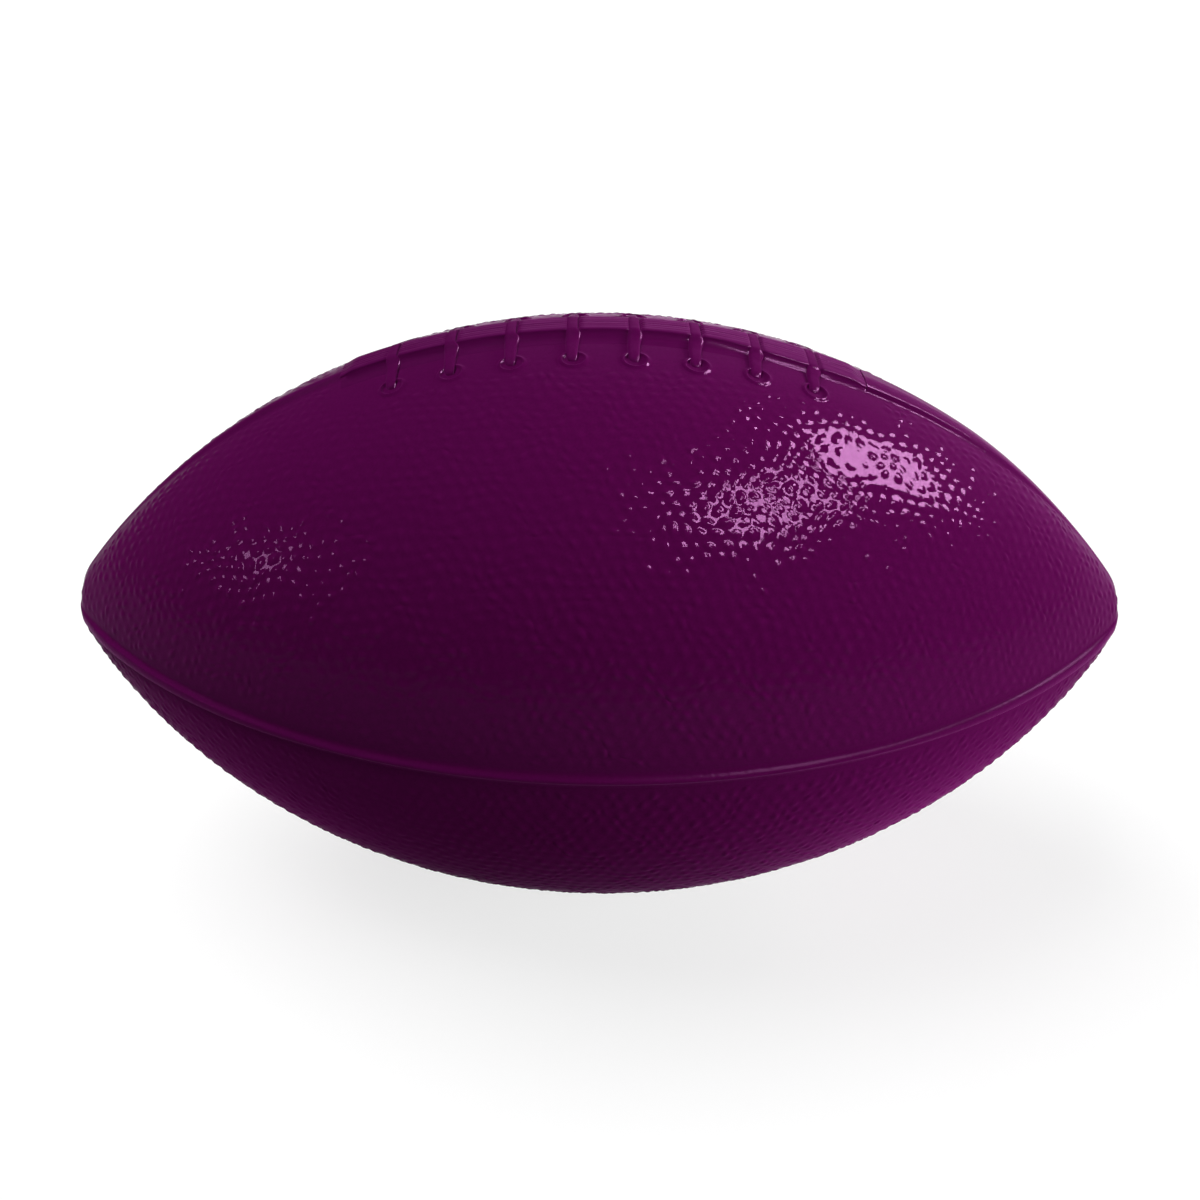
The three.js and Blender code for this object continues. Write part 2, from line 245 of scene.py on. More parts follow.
for name, (side, radiance) in CARDS.items():
    over_card = Vector((side * CARD_ALONG, -CARD_FORWARD, cad_low.z + CARD_LIFT + LAMP_DISTANCE))
    studio_lamp(name, over_card, -UP, Vector((1, 0, 0)), CARD_SIZE, CARD_SIZE, radiance, gleam=False)

world = bpy.data.worlds.new("surround")
world.use_nodes = True
world.node_tree.nodes["Background"].inputs["Color"].default_value = grey(SURROUND_GREY)
bpy.context.scene.world = world
bpy.context.scene.view_settings.view_transform = "Standard"

# %% [markdown]
# ## Tools for materials
# A material is a tree of nodes. Three small functions keep the trees short to write: a node is made with
# all its inputs, and each input is either a value or another node with the name of its output.

# %% Material tools
def new_material(name):
    """A material, its node tree and its shader."""
    material = bpy.data.materials.new(name)
    material.use_nodes = True
    print("material:", name)
    return material, material.node_tree, material.node_tree.nodes["Principled BSDF"]


def set_inputs(node, inputs):
    """Gives inputs their values, or links them to the output of another node."""
    for socket, value in inputs.items():
        if isinstance(value, tuple) and isinstance(value[0], bpy.types.Node):
            source, output = value
            node.id_data.links.new(source.outputs[output], node.inputs[socket])
        else:
            node.inputs[socket].default_value = value


def add_node(tree, kind, inputs=None, **settings):
    """A new node with its inputs and settings."""
    node = tree.nodes.new(kind)
    for name, setting in settings.items():
        setattr(node, name, setting)
    set_inputs(node, inputs or {})
    return node


# %% [markdown]
# ## The floor
# The ball lies on its bottom bead, so the floor touches that bead. It is a plain white sheet that fills
# the picture and goes no further to the sides, so that the tips reflect the darker surround. Straight to
# the camera and in mirror reflections it is white, partly by a glow of its own, which keeps the shadow
# light; as a source of scattered light it is grey, so that it doesn't wash out the dark underside.

# %% Floor
FLOOR_WIDTH = 1.3
FLOOR_DEPTH = 2.6
FLOOR_WHITE = 0.27
FLOOR_GLOW = 0.75
FLOOR_SCATTER = 0.28
FLOOR_ROUGHNESS = 0.9


def shown_to_eye(tree):
    """1 for rays that come straight, mirrored or through glass to the camera, 0 for scattered ones."""
    path = add_node(tree, "ShaderNodeLightPath")
    rays = {0: (path, "Is Camera Ray"), 1: (path, "Is Glossy Ray")}
    seen = add_node(tree, "ShaderNodeMath", rays, operation="MAXIMUM")
    rays = {0: (seen, "Value"), 1: (path, "Is Transmission Ray")}
    return add_node(tree, "ShaderNodeMath", rays, operation="MAXIMUM"), "Value"


def paper_floor_material():
    material, tree, surface = new_material("paper_floor")
    shown = shown_to_eye(tree)
    tones = {"Factor": shown, "A": grey(FLOOR_SCATTER), "B": grey(FLOOR_WHITE)}
    tone = add_node(tree, "ShaderNodeMix", tones, data_type="RGBA")
    glow = add_node(tree, "ShaderNodeMath", {0: shown, 1: FLOOR_GLOW}, operation="MULTIPLY")
    set_inputs(surface, {"Roughness": FLOOR_ROUGHNESS, "Specular IOR Level": 0.0, "Emission Color": grey(1)})
    set_inputs(surface, {"Base Color": (tone, "Result"), "Emission Strength": (glow, "Value")})
    return material


floor_mesh = bmesh.new()
bmesh.ops.create_grid(floor_mesh, x_segments=1, y_segments=1, size=0.5)
bmesh.ops.scale(floor_mesh, verts=floor_mesh.verts, vec=(FLOOR_WIDTH, FLOOR_DEPTH, 1))
bmesh.ops.translate(floor_mesh, verts=floor_mesh.verts, vec=(0, 0, cad_low.z))
floor_data = bpy.data.meshes.new("floor")
floor_mesh.to_mesh(floor_data)
floor_mesh.free()
floor_data.materials.append(paper_floor_material())
floor = bpy.data.objects.new("floor", floor_data)
bpy.context.scene.collection.objects.link(floor)
print(f"floor at {cad_low.z / MM:.2f} mm")

# %% [markdown]
# ## Vinyl, the finish that all outer pieces share
# The cover, beads and lacing are one moulded vinyl, so one node group makes what they have in common: a
# slow change of tone over the ball, fine specks, a gloss that is duller in patches where hands touched
# it, and a faint waviness like orange peel. It reads a "relief" attribute that each mesh carries, from 0
# in a hollow to 1 on a crest, so that crests look a little rubbed and hollows a little deeper.

# %% Vinyl node group
VINYL_INPUTS = {
    "Vector": "Vector", "Relief": "Float",
    "Colour": "Color", "Hollow Colour": "Color", "Rubbed Colour": "Color",
    "Patch Scale": "Float", "Speck Scale": "Float", "Peel Scale": "Float",
    "Gloss Low": "Float", "Gloss High": "Float",
}
VINYL_OUTPUTS = {"Color": "Color", "Roughness": "Float", "Height": "Float"}
NOISE_DETAIL = {"Patch": 4, "Speck": 2, "Peel": 0}
SPECK_BAND = {"From Min": 0.35, "From Max": 0.7, "To Max": 0.35}
PATCH_BAND = {"From Min": 0.35, "From Max": 0.75}


def vinyl_group():
    group = bpy.data.node_groups.new("moulded_vinyl", "ShaderNodeTree")
    for in_out, sockets in (("INPUT", VINYL_INPUTS), ("OUTPUT", VINYL_OUTPUTS)):
        for name, kind in sockets.items():
            group.interface.new_socket(name, in_out=in_out, socket_type=f"NodeSocket{kind}")
    given = add_node(group, "NodeGroupInput")
    result = add_node(group, "NodeGroupOutput")
    noise = {}
    for name, detail in NOISE_DETAIL.items():
        inputs = {"Vector": (given, "Vector"), "Scale": (given, f"{name} Scale"), "Detail": detail}
        noise[name] = add_node(group, "ShaderNodeTexNoise", inputs), "Fac"
    specks = add_node(group, "ShaderNodeMapRange", {"Value": noise["Speck"], **SPECK_BAND})
    tones = {"Factor": (specks, "Result"), "A": (given, "Colour"), "B": (given, "Hollow Colour")}
    specked = add_node(group, "ShaderNodeMix", tones, data_type="RGBA")
    rub = add_node(group, "ShaderNodeMath", {0: (given, "Relief"), 1: noise["Patch"]}, operation="MULTIPLY")
    tones = {"Factor": (rub, "Value"), "A": (specked, "Result"), "B": (given, "Rubbed Colour")}
    rubbed = add_node(group, "ShaderNodeMix", tones, data_type="RGBA")
    ends = {"To Min": (given, "Gloss Low"), "To Max": (given, "Gloss High")}
    gloss = add_node(group, "ShaderNodeMapRange", {"Value": noise["Patch"], **PATCH_BAND, **ends})
    set_inputs(result, {"Color": (rubbed, "Result"), "Roughness": (gloss, "Result"), "Height": noise["Peel"]})
    return group


vinyl = vinyl_group()
print("group sockets:", [item.name for item in vinyl.interface.items_tree])

# %% [markdown]
# ## Materials of the outer pieces
# Cover, beads and lacing differ only in gloss, waviness and sheen, so one function places the group in a
# material with its own values. The highlights of this vinyl are low and tinted. The tint and the sheen, which
# lightens the skin where it turns away, are the same all over a piece, so they are set on the shader itself.
# Only the specular level changes, with the height on the ball: the underside is dull, the top is glossy.

# %% Vinyl materials
VINYL_COLOURS = {
    "Colour": (0.080, 0.0018, 0.056, 1),
    "Hollow Colour": (0.050, 0.0010, 0.034, 1),
    "Rubbed Colour": (0.088, 0.0024, 0.062, 1),
}
VINYL_IOR = 1.5
GLOSS_TINT = (42.5, 17.5, 40.0, 1)
GLOSS_LEVEL = 0.0012
DULL_SHARE = 0.05
DULL_BELOW = -12 * MM
GLOSSY_ABOVE = 18 * MM
SHEEN_ROUGHNESS = 0.35
SHEEN_TINT = (1.0, 0.30, 0.90, 1)
PATCH_SCALE = 45
SPECK_SCALE = 2600


def height_gloss(tree, place):
    """Specular level that rises with the height on the ball."""
    split = add_node(tree, "ShaderNodeSeparateXYZ", {"Vector": place})
    band = {"Value": (split, "Z"), "From Min": DULL_BELOW, "From Max": GLOSSY_ABOVE}
    levels = {"To Min": DULL_SHARE * GLOSS_LEVEL, "To Max": GLOSS_LEVEL}
    rise = add_node(tree, "ShaderNodeMapRange", {**band, **levels}, interpolation_type="SMOOTHSTEP")
    return rise, "Result"


def vinyl_material(name, gloss, peel, sheen, stretch=1.0, patch_scale=PATCH_SCALE, colours=VINYL_COLOURS):
    """Vinyl with a range of roughness, scale and depth of its waviness, and sheen."""
    material, tree, surface = new_material(name)
    place = add_node(tree, "ShaderNodeTexCoord"), "Object"
    lengthwise = add_node(tree, "ShaderNodeMapping", {"Vector": place, "Scale": (1 / stretch, 1, 1)})
    relief = add_node(tree, "ShaderNodeAttribute", attribute_name="relief")
    look = add_node(tree, "ShaderNodeGroup", colours, node_tree=vinyl)
    set_inputs(look, {"Vector": (lengthwise, "Vector"), "Relief": (relief, "Fac")})
    set_inputs(look, {"Patch Scale": patch_scale, "Speck Scale": SPECK_SCALE, "Peel Scale": peel[0]})
    set_inputs(look, {"Gloss Low": gloss[0], "Gloss High": gloss[1]})
    waves = {"Strength": 1.0, "Distance": peel[1], "Height": (look, "Height")}
    bump = add_node(tree, "ShaderNodeBump", waves)
    set_inputs(surface, {"IOR": VINYL_IOR, "Specular Tint": GLOSS_TINT, "Sheen Tint": SHEEN_TINT})
    set_inputs(surface, {"Sheen Roughness": SHEEN_ROUGHNESS, "Sheen Weight": sheen})
    set_inputs(surface, {"Specular IOR Level": height_gloss(tree, place), "Normal": (bump, "Normal")})
    set_inputs(surface, {"Base Color": (look, "Color"), "Roughness": (look, "Roughness")})
    return material


cover_vinyl = vinyl_material("cover_vinyl", (0.03, 0.06), (450, 0.007 * MM), 0.16)
lower_cover_vinyl = vinyl_material("lower_cover_vinyl", (0.03, 0.06), (450, 0.007 * MM), 0.08)
bead_vinyl = vinyl_material("bead_vinyl", (0.22, 0.34), (1500, 0.03 * MM), 0.18)
top_bead_vinyl = vinyl_material("top_bead_vinyl", (0.16, 0.28), (1500, 0.03 * MM), 0.20)
lace_vinyl = vinyl_material("lace_vinyl", (0.12, 0.22), (900, 0.08 * MM), 0.22, stretch=6.0)
strap_vinyl = vinyl_material("strap_vinyl", (0.12, 0.22), (900, 0.05 * MM), 0.12)

# %% [markdown]
# ## Handing a mesh over
# Every piece ends the same way: its bmesh becomes an object at the origin, with its material and with smooth
# shading that breaks at sharp edges, and it rides on its body and stands in for its solid.

# %% Finish a piece
SHARP_ANGLE = math.radians(50)


def finish_piece(bm, name, node, material, body="ball"):
    """Turns a bmesh into the finished object that stands for a CAD node."""
    bmesh.ops.recalc_face_normals(bm, faces=bm.faces)
    mesh = bpy.data.meshes.new(name)
    bm.to_mesh(mesh)
    bm.free()
    mesh.shade_smooth()
    mesh.set_sharp_from_angle(angle=SHARP_ANGLE)
    mesh.materials.append(material)
    piece = bpy.data.objects.new(name, mesh)
    bpy.context.scene.collection.objects.link(piece)
    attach(piece, body)
    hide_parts(node)
    triangles = sum(len(polygon.vertices) - 2 for polygon in mesh.polygons)
    print(f"{name}: {len(mesh.vertices)} vertices, {triangles} triangles")
    return piece


# %% [markdown]
# ## The pebble grain
# The grain is a field of separate low domes, about 1.8 mm apart, a bit uneven in place, width and height.
# It could be a bump texture, but then the outline would be smooth and the exported mesh bare, so it is
# modelled. The trick is to lay the grid and the pebbles on one lattice: six grid steps to a pebble, so
# that every dome gets the same well-placed vertices. The grid then drifts sideways with each pebble and
# warps in slow waves, which hides the lattice.

# %% Pebble pattern
PEBBLE_PITCH = 1.85 * MM
PEBBLE_RADIUS = 0.74 * MM
PEBBLE_HEIGHT = 0.11 * MM
PEBBLE_DRIFT = 0.34 * MM
PEBBLE_WIDTHS = (0.78, 1.14)
PEBBLE_LIFTS = (0.5, 1.35)
DOME_FLATNESS = 2.4
WARP_LENGTH = 11 * MM
WARP_REACH = 0.55 * MM
WARP_PACES = (0.7, 0.8)
STEPS = 6
STEP_ALONG = PEBBLE_PITCH / STEPS
STEP_ACROSS = PEBBLE_PITCH * math.sqrt(3) / 2 / STEPS


def grid_steps(half_columns, half_rows):
    """Column and row of every grid vertex, counted from the middle."""
    columns = np.arange(-half_columns, half_columns + 1)
    rows = np.arange(-half_rows, half_rows + 1)
    return np.meshgrid(columns, rows)


def pebble_pattern(half_columns, half_rows, seed):
    """Heights of the pebbles and the sideways drift of the grid, for every grid vertex."""
    draw = np.random.default_rng(seed)
    reach = (2 * (half_rows // STEPS + 3), 2 * (half_columns // STEPS + 3))
    width = draw.uniform(*PEBBLE_WIDTHS, reach)
    lift = draw.uniform(*PEBBLE_LIFTS, reach)
    drift_along = draw.uniform(-PEBBLE_DRIFT, PEBBLE_DRIFT, reach)
    drift_across = draw.uniform(-PEBBLE_DRIFT, PEBBLE_DRIFT, reach)
    column, row = grid_steps(half_columns, half_rows)
    height, along, across, weight = (np.zeros(column.shape) for _ in range(4))
    for row_step in (-1, 0, 1):
        pebble_row = np.rint(row / STEPS).astype(int) + row_step
        shift = (pebble_row % 2) * STEPS / 2
        for column_step in (-1, 0, 1):
            pebble_column = np.rint((column - shift) / STEPS).astype(int) + column_step
            off_along = (column - shift - pebble_column * STEPS) * STEP_ALONG
            off_across = (row - pebble_row * STEPS) * STEP_ACROSS
            distance = np.hypot(off_along, off_across)
            which = (pebble_row + reach[0] // 2, pebble_column + reach[1] // 2)
            share = distance / (PEBBLE_RADIUS * width[which])
            dome = np.clip(1 - share**DOME_FLATNESS, 0, None) ** 2
            height = np.maximum(height, dome * lift[which])
            pull = np.exp(-((2 * distance / PEBBLE_PITCH) ** 2))
            along += pull * drift_along[which]
            across += pull * drift_across[which]
            weight += pull
    turn_along = 2 * math.pi * column * STEP_ALONG / WARP_LENGTH
    turn_across = 2 * math.pi * row * STEP_ACROSS / WARP_LENGTH
    phase = draw.uniform(0, 2 * math.pi, 4)
    warp_along = np.sin(turn_across + phase[0]) * np.sin(WARP_PACES[0] * turn_along + phase[1])
    warp_across = np.sin(turn_along + phase[2]) * np.sin(WARP_PACES[1] * turn_across + phase[3])
    along = along / weight + WARP_REACH * warp_along
    across = across / weight + WARP_REACH * warp_across
    return height.ravel(), along.ravel(), across.ravel()


print(f"grid steps {STEP_ALONG / MM:.3f} x {STEP_ACROSS / MM:.3f} mm")

# %% [markdown]
# ## Where things sit on the skin
# The lacing and the valve leave their mark on the panels, so their places come before the panels. Each
# cross lace lies in a plane of its own, square to the skin on top of the ball. A small class keeps that
# plane, and turns a distance from the middle and a height above the skin into a point.

# %% Places of the lacing and the valve
LACE_COUNT = 8
LACE_PITCH = 8 * MM
LACE_END_MARGIN = 7.6 * MM
LACE_HOLE_DISTANCE = 8.25 * MM
VALVE_AXIS = Vector((0, 1, -1)).normalized()
lace_half_length = (LACE_COUNT - 1) * LACE_PITCH / 2 + LACE_END_MARGIN


class LacePlane:
    """The plane in which one cross lace lies."""

    def __init__(self, number):
        self.lean = lean_at((number - (LACE_COUNT - 1) / 2) * LACE_PITCH)
        along, away = skin(self.lean)
        self.foot = Vector((along, 0, away))
        self.along = Vector((math.cos(self.lean), 0, -math.sin(self.lean)))
        self.up = Vector((math.sin(self.lean), 0, math.cos(self.lean)))
        self.radius = away / math.cos(self.lean)

    def outward(self, distance):
        turn = distance / self.radius
        return Vector((0, math.sin(turn), 0)) + self.up * math.cos(turn)

    def point(self, distance, height=0.0):
        middle = self.foot - self.up * self.radius
        return middle + self.outward(distance) * (self.radius + height)


lace_planes = [LacePlane(number) for number in range(LACE_COUNT)]
print("laces at x in mm:", [round(plane.foot.x / MM, 1) for plane in lace_planes])

# %% [markdown]
# ## The cover panels
# A panel is a quarter of the skin, cut back from the joints. The grid is laid along the panel's centre
# line, its vertices are placed on the skin with the pebbles added, and two cutting planes trim it to the
# joints, the way a moulding is trimmed. A coarser inner wall is made the same way and joined to the
# outer one along the cut, so the panel is a closed shell.

# %% Place and trim a grid
PANEL_WALL = 1.5 * MM
JOINT_HALF_WIDTH = 1.2 * MM


def on_ball(arc, turn, height):
    """Points of the ball from a place along the skin, a turn round the long axis and a height."""
    along, away = skin(lean_at(arc), height)
    return np.stack([along, -away * np.sin(turn), away * np.cos(turn)], axis=1)


def set_places(bm, places):
    for vertex, place in zip(bm.verts, places):
        vertex.co = place


def trim_to_joints(bm, y_side, z_side):
    for side in (Vector((0, y_side, 0)), Vector((0, 0, z_side))):
        whole = bm.verts[:] + bm.edges[:] + bm.faces[:]
        cut = side * JOINT_HALF_WIDTH
        bmesh.ops.bisect_plane(bm, geom=whole, dist=1e-6, plane_co=cut, plane_no=-side, clear_outer=True)


print("panel wall", PANEL_WALL / MM, "mm, joints", 2 * JOINT_HALF_WIDTH / MM, "mm wide")

# %% [markdown]
# ## Where the grain stands
# The mould is smooth along the joints, beside the lacing and round the holes, so the domes are multiplied
# by a strength that fades out towards those places.

# %% Strength of the grain
EDGE_FADE = (1.5 * MM, 2.6 * MM)
LACE_FADE = (9.6 * MM, 11.4 * MM)
LACE_END_FADE = (lace_half_length, lace_half_length + 2 * MM)
HOLE_FADE = (2.0 * MM, 3.2 * MM)
VALVE_FADE = (5.4 * MM, 7.2 * MM)
LACE_LAND_GRAIN = 0.1


def fade(value, band):
    """Smooth rise from 0 to 1 across a band."""
    t = np.clip((value - band[0]) / (band[1] - band[0]), 0, 1)
    return t * t * (3 - 2 * t)


def grain_strength(places, y_side, z_side):
    """How much of the pebbles stands at each point."""
    x, y, z = places.T
    strength = fade(np.minimum(np.abs(y), np.abs(z)), EDGE_FADE)
    if z_side > 0:
        clear_of_laces = np.maximum(fade(np.abs(y), LACE_FADE), fade(np.abs(x), LACE_END_FADE))
        strength *= LACE_LAND_GRAIN + (1 - LACE_LAND_GRAIN) * clear_of_laces
        for plane in lace_planes:
            hole = np.array(plane.point(y_side * LACE_HOLE_DISTANCE))
            strength *= fade(np.linalg.norm(places - hole, axis=1), HOLE_FADE)
    elif y_side > 0:
        off_axis = np.linalg.norm(np.cross(places, np.array(VALVE_AXIS)), axis=1)
        strength *= fade(off_axis, VALVE_FADE)
    return strength


print("smooth land beside the lacing:", LACE_FADE[0] / MM, "mm to each side")

# %% Panel surfaces
GRID_HALF_TURN = math.radians(49)
GRID_TURN_LIMIT = math.radians(60)
LEAST_RADIUS = 0.5 * MM
TIP_OPENING = 0.5 * MM
WALL_HALF_TURN = math.radians(52)
WALL_COLUMNS = 80
WALL_ROWS = 20
half_columns = int(half_arc / STEP_ALONG)
half_rows = int(mid_radius * GRID_HALF_TURN / STEP_ACROSS)


def pebbled_skin(bm, y_side, z_side, seed):
    """Outer surface of a panel, trimmed to its joints."""
    centre_turn = math.atan2(-y_side, z_side)
    bmesh.ops.create_grid(bm, x_segments=2 * half_columns, y_segments=2 * half_rows, size=1)
    column, row = grid_steps(half_columns, half_rows)
    dome, drift_along, drift_across = pebble_pattern(half_columns, half_rows, seed)
    arc = column.ravel() * STEP_ALONG + drift_along
    across = row.ravel() * STEP_ACROSS + drift_across
    turn = across / np.maximum(skin(lean_at(arc))[1], LEAST_RADIUS)
    smooth = on_ball(arc, centre_turn + turn, 0.0)
    dome *= grain_strength(smooth, y_side, z_side)
    set_places(bm, on_ball(arc, centre_turn + turn, dome * PEBBLE_HEIGHT))
    relief = bm.verts.layers.float.new("relief")
    for vertex, value in zip(bm.verts, dome):
        vertex[relief] = value
    outside = (np.abs(turn) > GRID_TURN_LIMIT) | (np.abs(arc) > half_arc - TIP_OPENING)
    bmesh.ops.delete(bm, geom=[v for v, gone in zip(bm.verts, outside) if gone], context="VERTS")
    trim_to_joints(bm, y_side, z_side)


def inner_wall(bm, y_side, z_side):
    """Inner surface of a panel, trimmed to the same joints."""
    centre_turn = math.atan2(-y_side, z_side)
    bmesh.ops.create_grid(bm, x_segments=WALL_COLUMNS, y_segments=WALL_ROWS, size=1)
    column, row = np.meshgrid(np.linspace(-1, 1, WALL_COLUMNS + 1), np.linspace(-1, 1, WALL_ROWS + 1))
    arc = column.ravel() * (half_arc - TIP_OPENING)
    turn = row.ravel() * WALL_HALF_TURN
    set_places(bm, on_ball(arc, centre_turn + turn, -PANEL_WALL))
    trim_to_joints(bm, y_side, z_side)


print("panel grid:", 2 * half_columns, "by", 2 * half_rows, "faces before the trim")

# %% [markdown]
# ## Holes in the panels
# Each lace end goes into a small round hole with a rolled rim, and the valve stands in a larger one. A
# boolean would leave long thin triangles in the grain, so a hole is opened in the grid by deleting the
# faces inside it. The ragged edge that is left is moved onto a circle, and that circle is extruded ring by
# ring: up and over the rim, then down the wall, and closed at the bottom.

# %% Rimmed hole
# Reach of the search for the faces and for the ragged edge of a hole, as shares of its first ring.
NEAR_REACH = 2.0
EDGE_REACH = 1.6
# Each ring is a radius and a height above the skin at the hole, in mm.
LACE_RIM = [
    (2.06, 0.0), (1.98, 0.025), (1.88, 0.075), (1.68, 0.20), (1.58, 0.23), (1.48, 0.19), (1.40, 0.07),
    (1.28, -0.05), (1.00, -0.08),
]
VALVE_RIM = [(5.0, 0.0), (4.7, 0.06), (4.45, 0.14), (4.2, 0.12), (4.1, 0.0), (4.1, -0.6), (4.1, -1.3)]


def edge_loop_in_order(edges):
    """The vertices of one closed loop of edges, in order."""
    neighbours = {}
    for edge in edges:
        for vertex in edge.verts:
            neighbours.setdefault(vertex, []).append(edge.other_vert(vertex))
    first = edges[0].verts[0]
    loop = [first, neighbours[first][0]]
    while True:
        onward = [v for v in neighbours[loop[-1]] if v is not loop[-2]]
        if onward[0] is first:
            return loop
        loop.append(onward[0])


def grow_ring(bm, ring, edges):
    """Extrudes a ring. Gives its new vertices, in the same order, and its new edges."""
    grown = bmesh.ops.extrude_edge_only(bm, edges=edges)["geom"]
    fresh = [item for item in grown if isinstance(item, bmesh.types.BMVert)]
    edges = [item for item in grown if isinstance(item, bmesh.types.BMEdge) and item.is_boundary]
    return [min(fresh, key=lambda v: (v.co - old.co).length) for old in ring], edges


def rimmed_hole(bm, centre, axis, rings):
    """Opens a round hole and gives it a rim and a wall."""
    start = rings[0][0] * MM
    tangent = axis.orthogonal().normalized()
    bitangent = axis.cross(tangent)

    def off_axis(point):
        return ((point - centre) - axis * (point - centre).dot(axis)).length

    near = [v for v in bm.verts if (v.co - centre).length < NEAR_REACH * start]
    inside = {face for v in near if off_axis(v.co) < start for face in v.link_faces}
    bmesh.ops.delete(bm, geom=list(inside), context="FACES")
    near = [v for v in near if v.is_valid]
    edges = dict.fromkeys(e for v in near for e in v.link_edges if e.is_boundary)
    edges = [e for e in edges if all(off_axis(v.co) < EDGE_REACH * start for v in e.verts)]
    ring = edge_loop_in_order(edges)
    angles = [math.atan2((v.co - centre).dot(bitangent), (v.co - centre).dot(tangent)) for v in ring]
    turns = [math.remainder(b - a, 2 * math.pi) for a, b in zip(angles, angles[1:] + angles[:1])]
    way = math.copysign(1, sum(turns))
    lag = [angle - way * 2 * math.pi * n / len(ring) for n, angle in enumerate(angles)]
    phase = math.atan2(sum(map(math.sin, lag)), sum(map(math.cos, lag)))
    spokes, levels = [], []
    for n, vertex in enumerate(ring):
        angle = phase + way * 2 * math.pi * n / len(ring)
        spokes.append(tangent * math.cos(angle) + bitangent * math.sin(angle))
        levels.append((vertex.co - centre).dot(axis))
        vertex.co = centre + spokes[-1] * start + axis * levels[-1]
    for radius, height in rings[1:]:
        ring, edges = grow_ring(bm, ring, edges)
        for vertex, spoke, level in zip(ring, spokes, levels):
            vertex.co = centre + spoke * (radius * MM) + axis * (level + height * MM)
    bmesh.ops.edgeloop_fill(bm, edges=edges)


print("rims:", 2 * LACE_RIM[0][0], "mm wide at the laces,", 2 * VALVE_RIM[0][0], "mm at the valve")

# %% [markdown]
# ## Making the panels
# Now the steps meet: pebbled skin, holes, inner wall, and a bridge between their open edges. The panels
# differ only in side, seed and holes, so one loop makes all four.

# %% Make the four panels
PANELS = [("upper_front", -1, 1), ("upper_rear", 1, 1), ("lower_front", -1, -1), ("lower_rear", 1, -1)]
FIRST_SEED = 11


def cover_panel(name, y_side, z_side, seed):
    bm = bmesh.new()
    pebbled_skin(bm, y_side, z_side, seed)
    if z_side > 0:
        for plane in lace_planes:
            distance = y_side * LACE_HOLE_DISTANCE
            rimmed_hole(bm, plane.point(distance), plane.outward(distance), LACE_RIM)
    elif y_side > 0:
        rimmed_hole(bm, VALVE_AXIS * mid_radius, VALVE_AXIS, VALVE_RIM)
    wall_mesh = bmesh.new()
    inner_wall(wall_mesh, y_side, z_side)
    wall_data = bpy.data.meshes.new("inner_wall")
    wall_mesh.to_mesh(wall_data)
    wall_mesh.free()
    bm.from_mesh(wall_data)
    bpy.data.meshes.remove(wall_data)
    bmesh.ops.bridge_loops(bm, edges=[e for e in bm.edges if e.is_boundary])
    material = cover_vinyl if z_side > 0 else lower_cover_vinyl
    finish_piece(bm, f"pebbled_cover_{name}", f"{name}_panel", material)


for seed, (name, y_side, z_side) in enumerate(PANELS, start=FIRST_SEED):
    cover_panel(name, y_side, z_side, seed)

# %% [markdown]
# ## Strips along the ball
# Beads and strands are strips along the skin. A curve with a bevel could make them, but the skin is three
# arcs, so the section is spun three times: about the middle of the left nose, of the long flank and of the
# right nose. Then every vertex is moved to a new height and a new place across, so a strip may change its
# form along the way.

# %% Reshape a strip
def skin_place(x, z):
    """Lean and height above the skin of a point in the plane of the long axis."""
    lean = math.atan2(x, z + flank_drop)
    if abs(lean) <= join_lean:
        return lean, math.hypot(x, z + flank_drop) - flank_radius
    beyond = x - math.copysign(nose_centre, x)
    return math.atan2(beyond, z), math.hypot(beyond, z) - NOSE_RADIUS


def girth_radius(lean):
    """Radius of the round that the skin makes across the ball."""
    if abs(lean) > join_lean:
        return NOSE_RADIUS
    return skin(lean)[1] / math.cos(lean)


def reshape(bm, change):
    """Moves every vertex to a new height above the skin and a new place across the ball."""
    for vertex in bm.verts:
        lean, height = skin_place(vertex.co.x, vertex.co.z)
        height, across = change(lean, height, vertex.co.y)
        along, away = skin(lean, height - across**2 / (2 * girth_radius(lean)))
        vertex.co = (along, across, away)


print(f"round across the ball: {girth_radius(0.0) / MM:.1f} mm in the middle")

# %% Spin a section along the ball
FLANK_STEPS = 120
NOSE_STEPS = 16
NO_TURN = 1e-6


def spin_along(section, left, right, flank_steps=FLANK_STEPS):
    """A strip of constant section between two leans. The section gives distance across and height."""
    bm = bmesh.new()
    relief = bm.verts.layers.float.new("relief")
    highest = max(height for _, height in section)
    ring = []
    for across, height in section:
        along, away = skin(left, height)
        vertex = bm.verts.new((along, across, away))
        vertex[relief] = max(height, 0) / highest
        ring.append(vertex)
    first_edges = [bm.edges.new((a, b)) for a, b in zip(ring, ring[1:] + ring[:1])]
    last = ring + first_edges
    nose_turn = math.pi / 2 - join_lean
    arcs = [
        (-join_lean, -nose_centre, 0, nose_turn, NOSE_STEPS),
        (join_lean, 0, -flank_drop, 2 * join_lean, flank_steps),
        (math.pi / 2, nose_centre, 0, nose_turn, NOSE_STEPS),
    ]
    lean = left
    for stop, x, z, full_turn, full_steps in arcs:
        angle = min(stop, right) - lean
        if angle > NO_TURN:
            steps = max(2, round(full_steps * angle / full_turn))
            spun = bmesh.ops.spin(bm, geom=last, cent=(x, 0, z), axis=(0, 1, 0), angle=angle, steps=steps)
            last = spun["geom_last"]
            lean += angle
    last_edges = [item for item in last if isinstance(item, bmesh.types.BMEdge)]
    bmesh.ops.edgeloop_fill(bm, edges=first_edges)
    bmesh.ops.edgeloop_fill(bm, edges=last_edges)
    return bm


